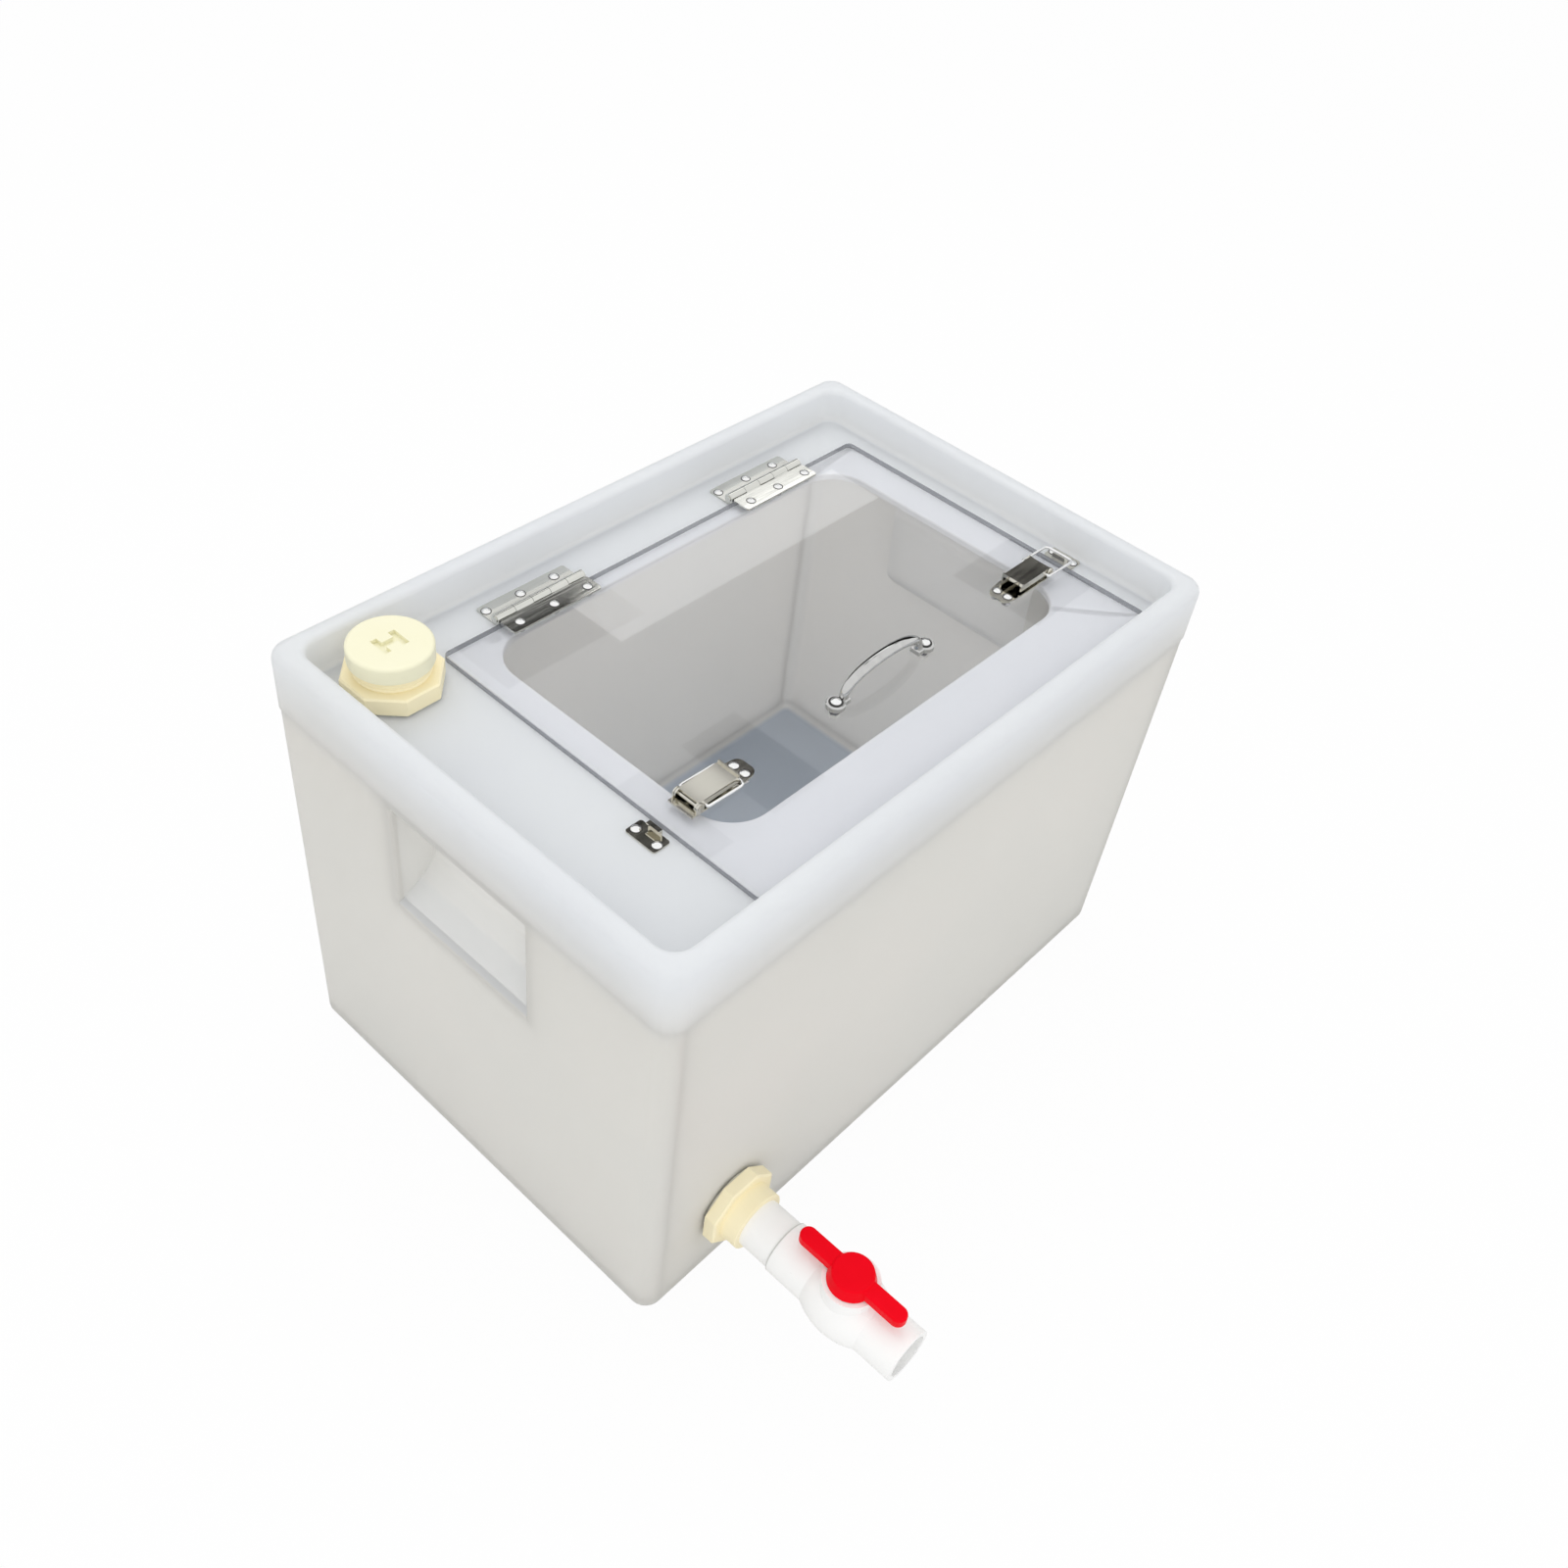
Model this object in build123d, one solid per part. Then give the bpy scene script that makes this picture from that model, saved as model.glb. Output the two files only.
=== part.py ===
"""Fish transport box: a moulded tank with a clear hinged lid, a fill plug and a drain valve.

Millimetres, +Z up. The origin is the middle of the tank's flat base. +X runs along the long
side, and the drain valve stands out of the front wall towards -Y.
"""
import math
import os

from build123d import *

# Tank shell
LENGTH = 556.0
WIDTH = 375.0
HEIGHT = 375.0
WALL = 6.0
CORNER_R = 15.0
BASE_EDGE_R = 9.0
RIM_WIDTH = 16.0
RIM_OUTER_R = 9.0
RIM_INNER_R = 4.5
RECESS_CORNER_R = 14.0
DECK_DROP = 28.0
DECK_COVE_R = 4.0
BAND_HEIGHT = 48.0
BAND_STEP = 1.0
BAND_CHAMFER = 0.9
DECK_LEFT = 123.5
DECK_FRONT = 74.5
DECK_BACK = 68.5
MOUTH_R = 32.0
MOUTH_EDGE_R = 1.5

# Hand-hold pockets in the two short walls
POCKET_WIDTH = 128.0
POCKET_UNDER_BAND = 8.5
POCKET_TALL = 89.5
POCKET_KNEE = 20.0
POCKET_KNEE_RISE = 11.5
POCKET_HEEL = 31.5
POCKET_HEEL_RISE = 24.5
POCKET_DEPTH = 36.0
POCKET_ROUND = 8.0
POCKET_MOUTH_R = 2.5

# Lid sheet
LID_THICKNESS = 5.0
LID_CORNER_R = 5.0
LID_LAP_LEFT = 26.0
LID_LAP_RIGHT = 29.5
LID_LAP_FRONT = 50.5
LID_LAP_BACK = 11.0
LID_EDGE_R = 0.6

# Butt hinges
HINGE_LENGTH = 80.0
LEAF_WIDTH = 21.0
LEAF_THICKNESS = 1.5
LEAF_CORNER_R = 2.0
LEAF_LAP = 2.0
KNUCKLE_R = 4.0
KNUCKLE_ROOT = 3.0
KNUCKLE_COUNT = 5
KNUCKLE_GAP = 0.3
PIN_R = 1.5
PIN_FIT = 0.05
PIN_HEAD = 0.8
PIN_HEAD_R = 2.5
PIN_OFFSET = 5.0
HINGE_FROM_LID_LEFT = 89.5
HINGE_FROM_LID_RIGHT = 98.5
HINGE_RIVETS = 3
HINGE_RIVET_PITCH = 31.0
LID_RIVET_SHIFT = 1.5
DECK_RIVET_SHIFT = -5.0
LID_RIVET_IN = 14.0
DECK_RIVET_IN = 14.5

# Rivets
RIVET_R = 2.0
RIVET_HEAD_R = 3.6
RIVET_HEAD = 1.8
RIVET_TAIL_R = 3.3
RIVET_TAIL = 1.4
RIVET_FIT = 0.05
TAIL_SINK = 0.1

# Bow handle
FRONT_ROW = 108.0
BOW_CENTRES = 96.0
BOW_HEIGHT = 24.0
BOW_FOOT_R = 7.0
BOW_FOOT = 4.0
BOW_FOOT_EDGE = 0.8
BOW_NECK = 8.0
BOW_NECK_HALF = 4.2
BOW_START_UP = 1.5
BOW_FULLNESS = 0.7
BOW_END_R = 3.2
BOW_MID_WIDTH = 9.0
BOW_MID_THICK = 6.5
BOW_STATIONS = 9
BOW_SIGHT = 0.02
BOW_SCREW_R = 2.0
BOW_SCREW_HEAD_R = 4.3
BOW_SCREW_HEAD = 2.8
BOW_NUT_R = 4.0
BOW_NUT = 3.0
BOW_SCREW_PAST_NUT = 1.0

# Draw latches, measured along the latch from its outer end
LATCH_INSET = 15.4
LATCH_LENGTH = 61.0
LATCH_WIDTH = 21.3
LATCH_TAPER_FROM = 44.0
LATCH_END_WIDTH = 17.0
LATCH_END_R = 6.0
SHEET = 1.2
SIDE_GAP = 0.3
EAR_R = 3.5
LEVER_PIVOT = 7.0
LEVER_PIVOT_UP = 4.8
LEVER_PIN_R = 1.25
LEVER_PIN_HEAD = 0.4
LEVER_PIN_HEAD_R = 2.0
LEVER_END = 43.0
LEVER_TOP = 8.4
LEVER_SKIRT = 3.0
LEVER_LIP = 1.6
LEVER_NOSE_EASE = 0.2
BAIL_ARM = 5.0
BAIL_PAST_KEEPER = 1.0
BAIL_WIRE_R = 1.1
BAIL_BEND_R = 4.0
BAIL_END_BEND_R = 1.4
BAIL_SIDE_GAP = 0.7
BAIL_FOLDED_DEG = -3.4
BAIL_FORWARD_DEG = 183.1
LATCH_RIVET_AT = 53.0
LATCH_RIVET_SIDE = 4.8

# Keepers on the deck
KEEPER_LENGTH = 14.0
KEEPER_WIDTH = 26.0
KEEPER_GAP = 4.6
KEEPER_MARGIN = 0.4
HOOK_WIDTH = 11.0
HOOK_HEIGHT = 6.4
HOOK_LIP = 3.4
KEEPER_CORNER_R = 2.0
KEEPER_RIVET_SIDE = 9.2
KEEPER_RIVET_IN = 8.0

# Fill port on the deck
FILL_FLANGE = 64.0
FILL_MARGIN = 5.5
FILL_FROM_BACK = 58.0
FILL_FLANGE_FACE = 14.5
FILL_NECK_R = 25.0
FILL_NECK_TOP = 22.0
FILL_TUBE_DOWN = 20.0
FILL_BORE_R = 19.5
FILL_NUT = 60.0
PLUG_HEAD_R = 28.5
PLUG_HEAD = 13.0
PLUG_HEAD_EDGE = 2.5
PLUG_SEAL = 1.5
PLUG_SEAL_MARGIN = 1.0
PLUG_STEM = 13.0
PLUG_FIT = 0.08
PLUG_HOLLOW_R = 15.0
PLUG_CROWN = 4.5
PLUG_RECESS = 3.0
PLUG_SLOT = 5.0
PLUG_SLOT_SPREAD = 14.0
PLUG_SLOT_LENGTH = 16.0
THREAD_RIDGE = 0.9
THREAD_PITCH = 3.0

# Drain port in the front wall, and what both ports share
DRAIN_X = 79.0
DRAIN_Z = 70.0
DRAIN_FLANGE = 58.0
DRAIN_COLLAR_R = 23.0
DRAIN_TUBE_R = 21.0
DRAIN_TUBE_IN = 18.0
DRAIN_COLLAR_END = 26.0
DRAIN_NUT = 54.0
DRAIN_FLANGE_FACE = 12.0
GASKET = 2.0
GASKET_MARGIN = 2.0
NUT_HEIGHT = 10.0
PORT_CLEARANCE = 0.6
THREAD_FIT = 0.05
FLAT_COUNT = 8
CAST_EDGE = 1.2

# Drain adapter and ball valve, measured out from the front wall
ADAPTER_R = 18.7
ADAPTER_BORE_R = 12.5
ADAPTER_TAIL_R = 16.5
ADAPTER_TAIL = 18.0
SPIGOT_R = 16.0
SOCKET_FIT = 0.1
SOCKET_DEPTH = 22.0
SPIGOT_SHORT = 2.0
VALVE_START = 52.0
VALVE_CENTRE = 107.0
VALVE_END = 161.0
VALVE_SPLIT = 132.0
VALVE_SOCKET_R = 20.0
VALVE_BELLY_R = 26.0
BELLY_HALF = 24.0
VALVE_BORE_R = 10.0
BALL_R = 15.5
BALL_FIT = 0.1
CHAMBER_R = 16.3
SEAT_DEPTH = 6.0
SEAT_BACK = 3.5
CARRIER_OVERLAP = 6.0
BOSS_R = 20.0
BOSS_TOP = 29.5
STEM_R = 5.0
STEM_FIT = 0.06
STEM_TOP = 36.0
STEM_SQUARE = 6.6
TANG_THICK = 4.0
TANG_DEPTH = 3.0
TANG_FIT = 0.1
RING_SEAT = 1.0
RING_HEIGHT = 2.2
RING_UP = 22.0

# Valve handle
HUB_R = 17.0
HUB_TOP_R = 14.5
HUB_GAP = 0.6
HUB_HEIGHT = 9.5
WING_REACH = 45.0
WING_WIDTH = 12.5
WING_HEIGHT = 7.5
WING_DROP = 1.0
WING_EDGE = 1.6

# How far a cutting shape runs past a face, and how near an edge is to a height to count as there
PAST = 1.0
NEAR = 0.01
# What is left of a flat between two full round corners
ROUND_EASE = 0.1

DECK_Z = HEIGHT - DECK_DROP
DECK_UNDER = DECK_Z - WALL
LID_TOP = DECK_Z + LID_THICKNESS
LEFT = -LENGTH / 2
RIGHT = LENGTH / 2
FRONT = -WIDTH / 2
BACK = WIDTH / 2
RECESS_IN = RIM_WIDTH + DECK_COVE_R
LID_RIGHT = RIGHT - RECESS_IN - KEEPER_MARGIN - KEEPER_LENGTH - KEEPER_GAP
MOUTH_LEFT = LEFT + DECK_LEFT
MOUTH_RIGHT = LID_RIGHT - LID_LAP_RIGHT
MOUTH_FRONT = FRONT + DECK_FRONT
MOUTH_BACK = BACK - DECK_BACK
LID_LEFT = MOUTH_LEFT - LID_LAP_LEFT
LID_FRONT = MOUTH_FRONT - LID_LAP_FRONT
LID_BACK = MOUTH_BACK + LID_LAP_BACK
LID_MID = (LID_LEFT + LID_RIGHT) / 2
PIN_Y = LID_BACK + PIN_OFFSET
PIN_Z = LID_TOP
HINGE_XS = (LID_LEFT + HINGE_FROM_LID_LEFT, LID_RIGHT - HINGE_FROM_LID_RIGHT)
ROW_Y = FRONT + FRONT_ROW
SIDES = {"left": -1, "right": 1}
BAND_Z = HEIGHT - BAND_HEIGHT
FLOOR_COVE_R = BASE_EDGE_R - BAND_STEP
POCKET_TOP_Z = BAND_Z - POCKET_UNDER_BAND
POCKET_LOW_Z = POCKET_TOP_Z - POCKET_TALL
KEEPER_REACH = LATCH_INSET + KEEPER_GAP
BAIL_PIVOT = LEVER_PIVOT + BAIL_ARM
BAIL_LENGTH = BAIL_PIVOT + KEEPER_REACH + BAIL_PAST_KEEPER
LEVER_INNER = LATCH_WIDTH / 2 - 2 * SHEET - SIDE_GAP
LEVER_OUTER = LEVER_INNER + SHEET
FILL_X = RECESS_IN + FILL_MARGIN + FILL_FLANGE / 2


def block(x0, x1, y0, y1, z0, z1):
    """A box between two corners."""
    return Pos((x0 + x1) / 2, (y0 + y1) / 2, (z0 + z1) / 2) * Box(x1 - x0, y1 - y0, z1 - z0)


def rounded_block(x0, x1, y0, y1, z0, z1, corner):
    """A box with rounded upright corners."""
    outline = Pos((x0 + x1) / 2, (y0 + y1) / 2, z0) * RectangleRounded(x1 - x0, y1 - y0, corner)
    return extrude(outline, z1 - z0)


def rod(radius, z0, z1):
    """A cylinder on the local Z axis."""
    return Pos(0, 0, (z0 + z1) / 2) * Cylinder(radius, z1 - z0)


def tube(outer, inner, z0, z1):
    """A cylinder on the local Z axis with a bore."""
    return rod(outer, z0, z1) - rod(inner, z0, z1)


def eight_sided(across, z0, z1):
    """An octagonal prism on the local Z axis, with flats square to the axes."""
    corner = across / 2 / math.cos(math.pi / FLAT_COUNT)
    outline = Rot(0, 0, 180 / FLAT_COUNT) * RegularPolygon(corner, FLAT_COUNT)
    return Pos(0, 0, z0) * extrude(outline, z1 - z0)


def edges_at(shape, height):
    """The edges that lie flat at one height."""
    return shape.edges().filter_by_position(Axis.Z, height - NEAR, height + NEAR)


def hinge_rivets(x, y, shift):
    """The places of one leaf's rivets."""
    start = x + shift - HINGE_RIVET_PITCH * (HINGE_RIVETS - 1) / 2
    return [(start + HINGE_RIVET_PITCH * index, y) for index in range(HINGE_RIVETS)]


def latch_x(side, along):
    """A place on a latch, counted inwards from its outer end."""
    lid_edge = LID_RIGHT if side > 0 else LID_LEFT
    return lid_edge - side * (LATCH_INSET + along)


LID_HINGE_RIVETS = [p for x in HINGE_XS for p in hinge_rivets(x, PIN_Y - LID_RIVET_IN, LID_RIVET_SHIFT)]
DECK_HINGE_RIVETS = [p for x in HINGE_XS for p in hinge_rivets(x, PIN_Y + DECK_RIVET_IN, DECK_RIVET_SHIFT)]
LATCH_RIVETS = [(latch_x(side, LATCH_RIVET_AT), ROW_Y + across * LATCH_RIVET_SIDE)
                for side in SIDES.values() for across in (-1, 1)]
KEEPER_RIVETS = [(latch_x(side, -KEEPER_REACH - KEEPER_RIVET_IN), ROW_Y + across * KEEPER_RIVET_SIDE)
                 for side in SIDES.values() for across in (-1, 1)]
BOW_SCREWS = [(LID_MID + end * BOW_CENTRES / 2, ROW_Y) for end in (-1, 1)]
FILL_PLACE = Pos(LEFT + FILL_X, BACK - FILL_FROM_BACK, DECK_Z)
DRAIN_PLACE = Plane(origin=(LEFT + DRAIN_X, FRONT, DRAIN_Z), x_dir=(1, 0, 0), z_dir=(0, -1, 0)).location


def pocket_form(grow):
    """The space of one hand hold, seen from the left end, or the plastic that wraps it."""
    rise = [(-WALL, POCKET_LOW_Z), (0, POCKET_LOW_Z), (POCKET_KNEE, POCKET_LOW_Z + POCKET_KNEE_RISE),
            (POCKET_HEEL, POCKET_LOW_Z + POCKET_HEEL_RISE), (POCKET_DEPTH, POCKET_TOP_Z),
            (-WALL, POCKET_TOP_Z)]
    profile = make_face(Plane.XZ * Polyline(*rise, close=True))
    inner = [v for v in profile.vertices() if v.X > POCKET_KNEE - PAST]
    profile = fillet(inner, POCKET_ROUND)
    if grow:
        profile = offset(profile, grow)
    return extrude(profile, POCKET_WIDTH / 2 + grow, both=True)


def tank_shell():
    """The one-piece moulded tank: walls, base, rim, sunk deck with its mouth, and hand holds."""
    low = rounded_block(LEFT + BAND_STEP, RIGHT - BAND_STEP, FRONT + BAND_STEP, BACK - BAND_STEP,
                        0, BAND_Z, CORNER_R - BAND_STEP)
    low = fillet(edges_at(low, 0), BASE_EDGE_R)
    high = rounded_block(LEFT, RIGHT, FRONT, BACK, BAND_Z, HEIGHT, CORNER_R)
    high = fillet(edges_at(high, HEIGHT), RIM_OUTER_R)
    high = chamfer(edges_at(high, BAND_Z), BAND_CHAMFER)
    outside = low + high
    chamber = rounded_block(LEFT + WALL, RIGHT - WALL, FRONT + WALL, BACK - WALL,
                            WALL, DECK_UNDER, CORNER_R - WALL)
    chamber = fillet(edges_at(chamber, WALL), FLOOR_COVE_R)
    recess = rounded_block(LEFT + RIM_WIDTH, RIGHT - RIM_WIDTH, FRONT + RIM_WIDTH, BACK - RIM_WIDTH,
                           DECK_Z, HEIGHT + PAST, RECESS_CORNER_R)
    recess = fillet(edges_at(recess, DECK_Z), DECK_COVE_R)
    shell = outside - chamber - recess
    lip_x = RIGHT - RIM_OUTER_R - PAST
    lip_y = BACK - RIM_OUTER_R - PAST
    lip = edges_at(shell, HEIGHT).filter_by(lambda e: abs(e.center().X) < lip_x and abs(e.center().Y) < lip_y)
    shell = fillet(lip, RIM_INNER_R)
    places = [Rot(0, 0, turn) * Pos(LEFT + BAND_STEP, 0, 0) for turn in (0, 180)]
    for place in places:
        shell = shell + (place * pocket_form(WALL) & outside)
    for place in places:
        shell = shell - place * pocket_form(0)
    shell = fillet(pocket_rim(shell), POCKET_MOUTH_R)
    mouth = rounded_block(MOUTH_LEFT, MOUTH_RIGHT, MOUTH_FRONT, MOUTH_BACK,
                          DECK_UNDER - PAST, DECK_Z + PAST, MOUTH_R)
    shell = shell - mouth
    for height in (DECK_Z, DECK_UNDER):
        shell = fillet(mouth_edges(shell, height), MOUTH_EDGE_R)
    shell = shell - FILL_PLACE * rod(FILL_NECK_R + PORT_CLEARANCE, -WALL - PAST, PAST)
    shell = shell - DRAIN_PLACE * rod(DRAIN_TUBE_R + PORT_CLEARANCE, -WALL - PAST, PAST)
    for x, y in DECK_HINGE_RIVETS + KEEPER_RIVETS:
        shell = shell - Pos(x, y, 0) * rod(RIVET_R + RIVET_FIT, DECK_UNDER - PAST, DECK_Z + PAST)
    return shell


def pocket_rim(shell):
    """The sharp edges round the two hand holds, in the outside faces of the end walls."""
    outer = [e for e in shell.edges() if abs(abs(e.center().X) - (RIGHT - BAND_STEP)) < NEAR]
    return [e for e in outer if abs(e.center().Y) < POCKET_WIDTH / 2 + PAST
            and POCKET_LOW_Z - PAST < e.center().Z < POCKET_TOP_Z + PAST]


def tank_parts():
    """The moulding's nodes: base, walls, hand holds, deck and rim, parted by cuts across its walls."""
    floor_z = WALL + FLOOR_COVE_R
    deck = rounded_block(LEFT + RECESS_IN, RIGHT - RECESS_IN, FRONT + RECESS_IN, BACK - RECESS_IN,
                         DECK_UNDER, DECK_Z, RECESS_CORNER_R - DECK_COVE_R)
    zones = {
        "tank_base": block(LEFT, RIGHT, FRONT, BACK, 0, floor_z),
        "tank_deck": deck,
        "tank_rim": block(LEFT, RIGHT, FRONT, BACK, BAND_Z, HEIGHT) - deck,
        "tank_wall_front": block(LEFT + CORNER_R, RIGHT - CORNER_R, FRONT, MOUTH_FRONT, floor_z, BAND_Z),
        "tank_wall_back": block(LEFT + CORNER_R, RIGHT - CORNER_R, MOUTH_BACK, BACK, floor_z, BAND_Z),
    }
    reach = LEFT + BAND_STEP + POCKET_DEPTH + WALL + PAST
    half = POCKET_WIDTH / 2 + WALL + PAST
    for name, turn in (("left", 0), ("right", 180)):
        pocket = block(LEFT + WALL, reach, -half, half, floor_z, BAND_Z)
        end = block(LEFT, LEFT + CORNER_R, FRONT, BACK, floor_z, BAND_Z) - pocket
        zones["hand_pocket_" + name] = Rot(0, 0, turn) * pocket
        zones["tank_wall_" + name] = Rot(0, 0, turn) * end
    shell = tank_shell()
    return {name: shell & zone for name, zone in zones.items()}


def mouth_edges(shell, height):
    """The edges of the deck's mouth at one height."""
    flat = edges_at(shell, height)
    return flat.filter_by(lambda e: MOUTH_LEFT - PAST < e.center().X < MOUTH_RIGHT + PAST
                          and MOUTH_FRONT - PAST < e.center().Y < MOUTH_BACK + PAST)


def lid_sheet():
    """The flat clear sheet, with holes for its rivets and screws."""
    sheet = rounded_block(LID_LEFT, LID_RIGHT, LID_FRONT, LID_BACK, DECK_Z, LID_TOP, LID_CORNER_R)
    sheet = chamfer(edges_at(sheet, LID_TOP), LID_EDGE_R)
    for x, y in LID_HINGE_RIVETS + LATCH_RIVETS:
        mouth = rod(RIVET_TAIL_R + RIVET_FIT, DECK_Z - PAST, DECK_Z + TAIL_SINK)
        sheet = sheet - Pos(x, y, 0) * (sunk_rivet(DECK_Z + TAIL_SINK, LID_TOP + PAST, RIVET_FIT) + mouth)
    for x, y in BOW_SCREWS:
        sheet = sheet - Pos(x, y, 0) * rod(BOW_SCREW_R + RIVET_FIT, DECK_Z - PAST, LID_TOP + PAST)
    return sheet


def sunk_rivet(z0, z1, grow):
    """A rivet shank whose tail is a flush cone at its lower end."""
    tail = Pos(0, 0, z0 + RIVET_TAIL / 2) * Cone(RIVET_TAIL_R + grow, RIVET_R + grow, RIVET_TAIL)
    return rod(RIVET_R + grow, z0, z1) + tail


def domed_head(radius, height, z):
    """A low domed head with its flat side down at height z."""
    ball = (radius * radius + height * height) / (2 * height)
    cap = Pos(0, 0, z + height - ball) * Sphere(ball)
    return cap & rod(radius, z, z + height)


def lid_rivet(x, y, top):
    """A rivet through the lid with a flush tail, so that the lid can lie on the deck."""
    shank = sunk_rivet(DECK_Z + TAIL_SINK, top, 0)
    return Pos(x, y, 0) * (shank + domed_head(RIVET_HEAD_R, RIVET_HEAD, top))


def deck_rivet(x, y, top):
    """A rivet through the deck, spread under it."""
    shank = rod(RIVET_R, DECK_UNDER, top)
    tail = Rot(180, 0, 0) * domed_head(RIVET_TAIL_R, RIVET_TAIL, -DECK_UNDER)
    return Pos(x, y, 0) * (shank + tail + domed_head(RIVET_HEAD_R, RIVET_HEAD, top))


def knuckles(start):
    """Every second knuckle of a hinge, from the first or the second on."""
    pitch = HINGE_LENGTH / KNUCKLE_COUNT
    spans = []
    for index in range(start, KNUCKLE_COUNT, 2):
        low = index * pitch - HINGE_LENGTH / 2
        first = low if index == 0 else low + KNUCKLE_GAP / 2
        last = low + pitch if index == KNUCKLE_COUNT - 1 else low + pitch - KNUCKLE_GAP / 2
        spans.append((first, last))
    return spans


def hinge_leaf(x, fixed):
    """One leaf with its knuckles: the fixed one lies on the deck, the other on the lid."""
    side = 1 if fixed else -1
    low = DECK_Z - PIN_Z if fixed else 0
    clear = KNUCKLE_R + 2 * KNUCKLE_GAP
    near, far = sorted((side * clear, side * LEAF_WIDTH))
    leaf = rounded_block(-HINGE_LENGTH / 2, HINGE_LENGTH / 2, near, far, low, low + LEAF_THICKNESS,
                         LEAF_CORNER_R)
    for first, last in knuckles(0 if fixed else 1):
        turn = Rot(0, 90, 0) * rod(KNUCKLE_R, first, last)
        reach = sorted((0, side * (clear + LEAF_LAP)))
        strap = block(first, last, reach[0], reach[1], low, low + LEAF_THICKNESS)
        if fixed:
            strap = strap + block(first, last, 0, KNUCKLE_ROOT, low, 0)
        leaf = leaf + turn + strap
    leaf = leaf - Rot(0, 90, 0) * rod(PIN_R + PIN_FIT, -HINGE_LENGTH, HINGE_LENGTH)
    leaf = Pos(x, PIN_Y, PIN_Z) * leaf
    places = DECK_HINGE_RIVETS if fixed else LID_HINGE_RIVETS
    for rivet_x, rivet_y in places:
        leaf = leaf - Pos(rivet_x, rivet_y, PIN_Z) * rod(RIVET_R + RIVET_FIT, -LEAF_WIDTH, LEAF_WIDTH)
    return leaf


def hinge_pin(x):
    """The pin through all the knuckles, with a low head at each end."""
    half = HINGE_LENGTH / 2
    pin = rod(PIN_R, -half, half)
    head = rod(PIN_HEAD_R, half, half + PIN_HEAD)
    return Pos(x, PIN_Y, PIN_Z) * Rot(0, 90, 0) * (pin + head + Rot(180, 0, 0) * head)


def bow_section(t):
    """One station of the grip, from end to end: its place and the half sizes of its oval."""
    angle = math.pi * t
    swell = math.sin(angle)
    rise = BOW_HEIGHT - BOW_MID_THICK / 2 - BOW_START_UP
    x = -(BOW_CENTRES / 2 - BOW_NECK) * math.cos(angle)
    z = BOW_START_UP + rise * swell ** BOW_FULLNESS
    half_width = BOW_END_R + (BOW_MID_WIDTH / 2 - BOW_END_R) * swell
    half_thick = BOW_END_R + (BOW_MID_THICK / 2 - BOW_END_R) * swell
    return x, z, half_width, half_thick


def bow_handle():
    """The cast bow handle: two round feet joined by a tapering arched grip."""
    rings = []
    for index in range(BOW_STATIONS):
        t = index / (BOW_STATIONS - 1)
        x, z, half_width, half_thick = bow_section(t)
        before = bow_section(max(t - BOW_SIGHT, 0))
        after = bow_section(min(t + BOW_SIGHT, 1))
        run = Vector(after[0] - before[0], 0, after[1] - before[1])
        plane = Plane(origin=(x, 0, z), x_dir=(0, 1, 0), z_dir=run)
        rings.append(plane * Ellipse(half_width, half_thick))
    handle = loft(rings)
    for end in (-1, 1):
        eye = rod(BOW_FOOT_R, 0, BOW_FOOT)
        neck = block(-BOW_NECK - BOW_END_R, 0, -BOW_NECK_HALF, BOW_NECK_HALF, 0, BOW_FOOT)
        foot = chamfer(edges_at(eye + neck, BOW_FOOT), BOW_FOOT_EDGE)
        foot = foot - rod(BOW_SCREW_R + RIVET_FIT, -PAST, BOW_FOOT + PAST)
        handle = handle + Rot(0, 0, 0 if end > 0 else 180) * Pos(BOW_CENTRES / 2, 0, 0) * foot
    handle = handle - block(-BOW_CENTRES, BOW_CENTRES, -BOW_CENTRES, BOW_CENTRES, -BOW_CENTRES, 0)
    return Pos(LID_MID, ROW_Y, LID_TOP) * handle


def bow_screw(x, y):
    """A round-headed screw through the handle's foot and the lid."""
    top = LID_TOP + BOW_FOOT
    shank = rod(BOW_SCREW_R, DECK_Z - BOW_NUT - BOW_SCREW_PAST_NUT, top)
    return Pos(x, y, 0) * (shank + domed_head(BOW_SCREW_HEAD_R, BOW_SCREW_HEAD, top))


def bow_nut(x, y):
    """The thin hexagon nut under the lid."""
    outline = RegularPolygon(BOW_NUT_R, 6)
    nut = Pos(0, 0, DECK_Z - BOW_NUT) * extrude(outline, BOW_NUT)
    return Pos(x, y, 0) * (nut - rod(BOW_SCREW_R + RIVET_FIT, DECK_Z - BOW_NUT - PAST, DECK_Z + PAST))


def latch_place(side):
    """The frame of a latch: local X runs inwards from its outer end, on the lid's top."""
    return Pos(latch_x(side, 0), ROW_Y, LID_TOP) * Rot(0, 0, 180 if side > 0 else 0)


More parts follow.
